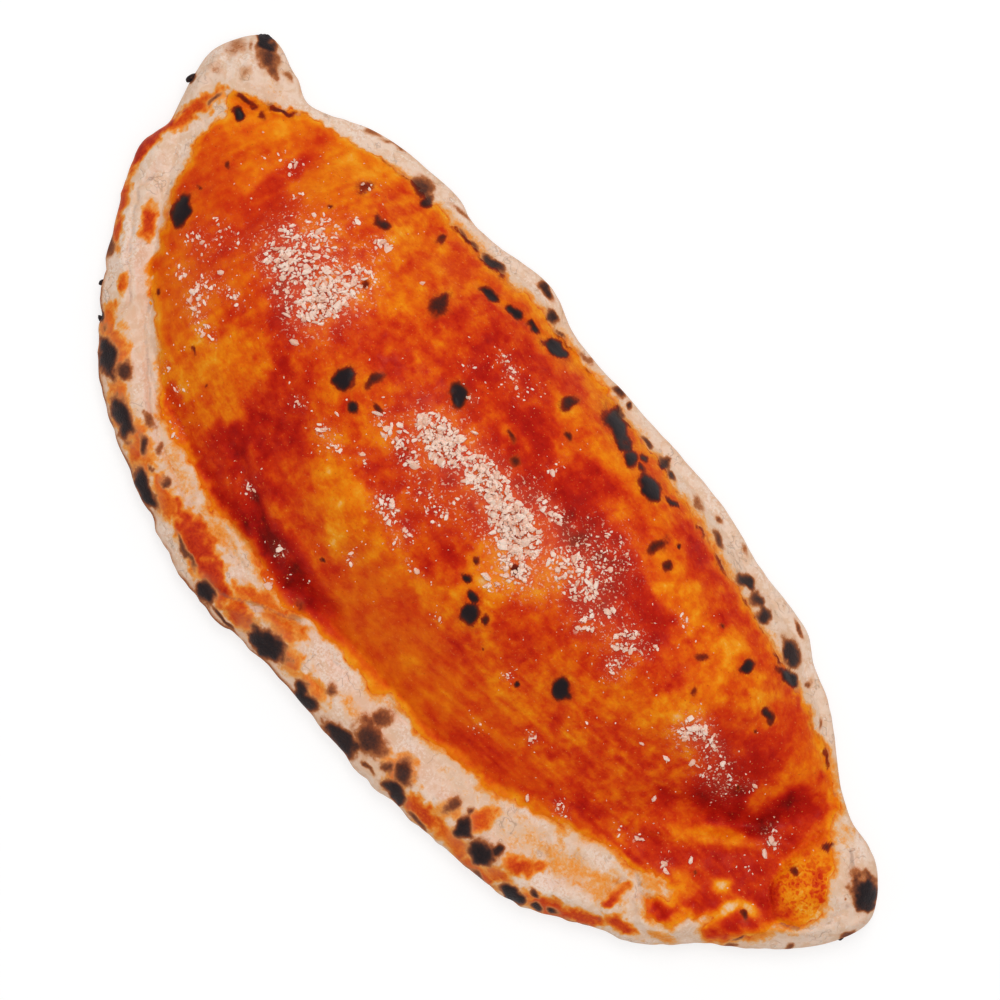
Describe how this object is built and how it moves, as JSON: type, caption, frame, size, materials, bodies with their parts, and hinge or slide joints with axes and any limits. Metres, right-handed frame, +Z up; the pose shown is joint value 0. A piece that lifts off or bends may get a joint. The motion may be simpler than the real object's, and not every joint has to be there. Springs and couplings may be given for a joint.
{
  "type": "calzone",
  "caption": "Baked folded pizza with a filled dome, a pinched rim and two horn-shaped ends, topped with tomato sauce and grated cheese; lies on its flat base.",
  "frame": {"origin": "middle of the flat underside's box, on the surface that the calzone lies on", "axes": "+X from the narrow left horn to the right horn, +Y towards the folded back, +Z up"},
  "size_m": [0.34, 0.149, 0.052],
  "materials": {
    "baked_dough": "matte baked dough, creamy with charred spots",
    "tomato_sauce": "moist baked tomato sauce, orange to red",
    "grated_cheese": "matte pale grated hard cheese",
    "charred_dough": "black burnt crust"
  },
  "bodies": {
    "root": {"dough": "baked_dough"}
  },
  "joints": []
}
